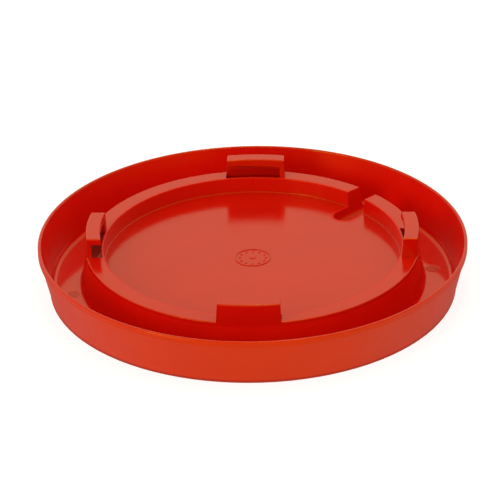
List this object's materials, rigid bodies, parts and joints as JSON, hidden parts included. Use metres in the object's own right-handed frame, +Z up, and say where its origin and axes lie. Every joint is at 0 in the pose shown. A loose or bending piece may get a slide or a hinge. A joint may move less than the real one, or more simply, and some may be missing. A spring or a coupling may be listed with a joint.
{
  "type": "gravity poultry feeder base",
  "caption": "Round red plastic base of a gravity poultry drinker or feeder: trough, raised ring with a flow gap and hooked lugs that lock an inverted jar.",
  "frame": {"origin": "on the ground, under the middle of the round base", "axes": "+Z up; the lugs lie on +X, +Y, -X and -Y, and the flow gap lies between +X and +Y"},
  "size_m": [0.2422, 0.2422, 0.0348],
  "materials": {
    "red_polyethylene": "semi-gloss, self-coloured"
  },
  "bodies": {
    "root": {"centre_mark": "red_polyethylene", "deck_back_to_left": "red_polyethylene", "deck_front_to_right": "red_polyethylene", "deck_gap_to_back": "red_polyethylene", "deck_left_to_front": "red_polyethylene", "deck_right_to_gap": "red_polyethylene", "flow_channel": "red_polyethylene", "gap_wall_left": "red_polyethylene", "gap_wall_right": "red_polyethylene", "gate_stub": "red_polyethylene", "lug_back_lip": "red_polyethylene", "lug_back_stop": "red_polyethylene", "lug_back_upright": "red_polyethylene", "lug_front_lip": "red_polyethylene", "lug_front_stop": "red_polyethylene", "lug_front_upright": "red_polyethylene", "lug_left_lip": "red_polyethylene", "lug_left_stop": "red_polyethylene", "lug_left_upright": "red_polyethylene", "lug_right_lip": "red_polyethylene", "lug_right_stop": "red_polyethylene", "lug_right_upright": "red_polyethylene", "outer_wall": "red_polyethylene", "rim": "red_polyethylene", "ring_inner_wall": "red_polyethylene", "ring_outer_wall": "red_polyethylene", "trough_floor": "red_polyethylene", "well_floor": "red_polyethylene"}
  },
  "joints": []
}
